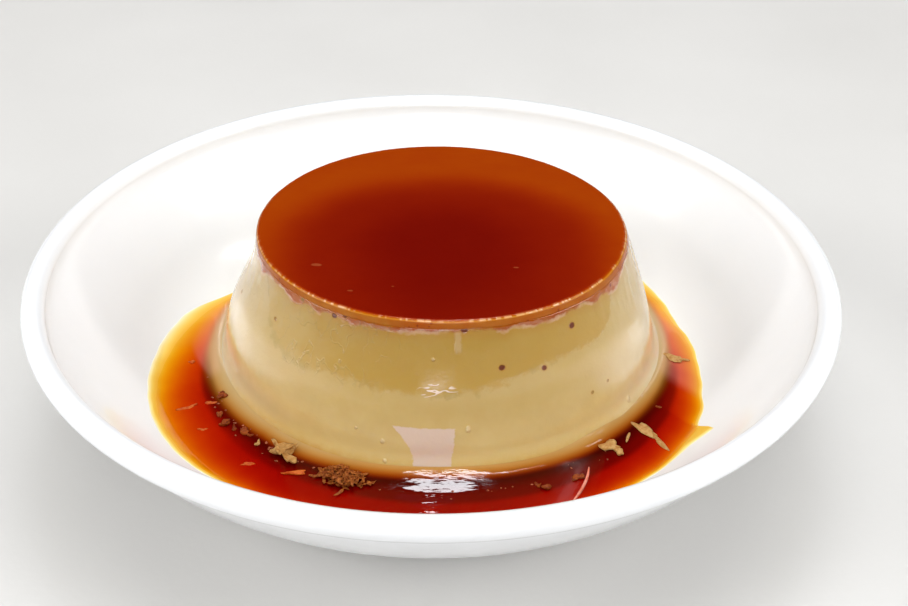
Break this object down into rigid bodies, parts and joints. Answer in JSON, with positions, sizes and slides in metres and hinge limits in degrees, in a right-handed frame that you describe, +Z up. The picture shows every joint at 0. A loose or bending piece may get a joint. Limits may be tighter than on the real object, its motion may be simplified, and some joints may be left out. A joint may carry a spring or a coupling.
{
  "type": "creme caramel flan in a bowl",
  "caption": "Creme caramel: a round baked custard flan with a thin glossy caramel layer on top, standing in caramel sauce in a shallow white bowl.",
  "frame": {"origin": "on the table under the bowl's axis, the centre of the foot ring's underside", "axes": "+Z up along the bowl's axis, -Y towards the front of the dessert, +X to its right"},
  "size_m": [0.17, 0.17, 0.0412],
  "materials": {
    "white_glaze": "white glaze, glossy",
    "custard": null,
    "caramel_layer": null,
    "caramel_sauce": null
  },
  "bodies": {
    "root": {"bowl": "white_glaze", "custard": "custard", "caramel_top": "caramel_layer", "caramel_sauce": "caramel_sauce"}
  },
  "joints": []
}
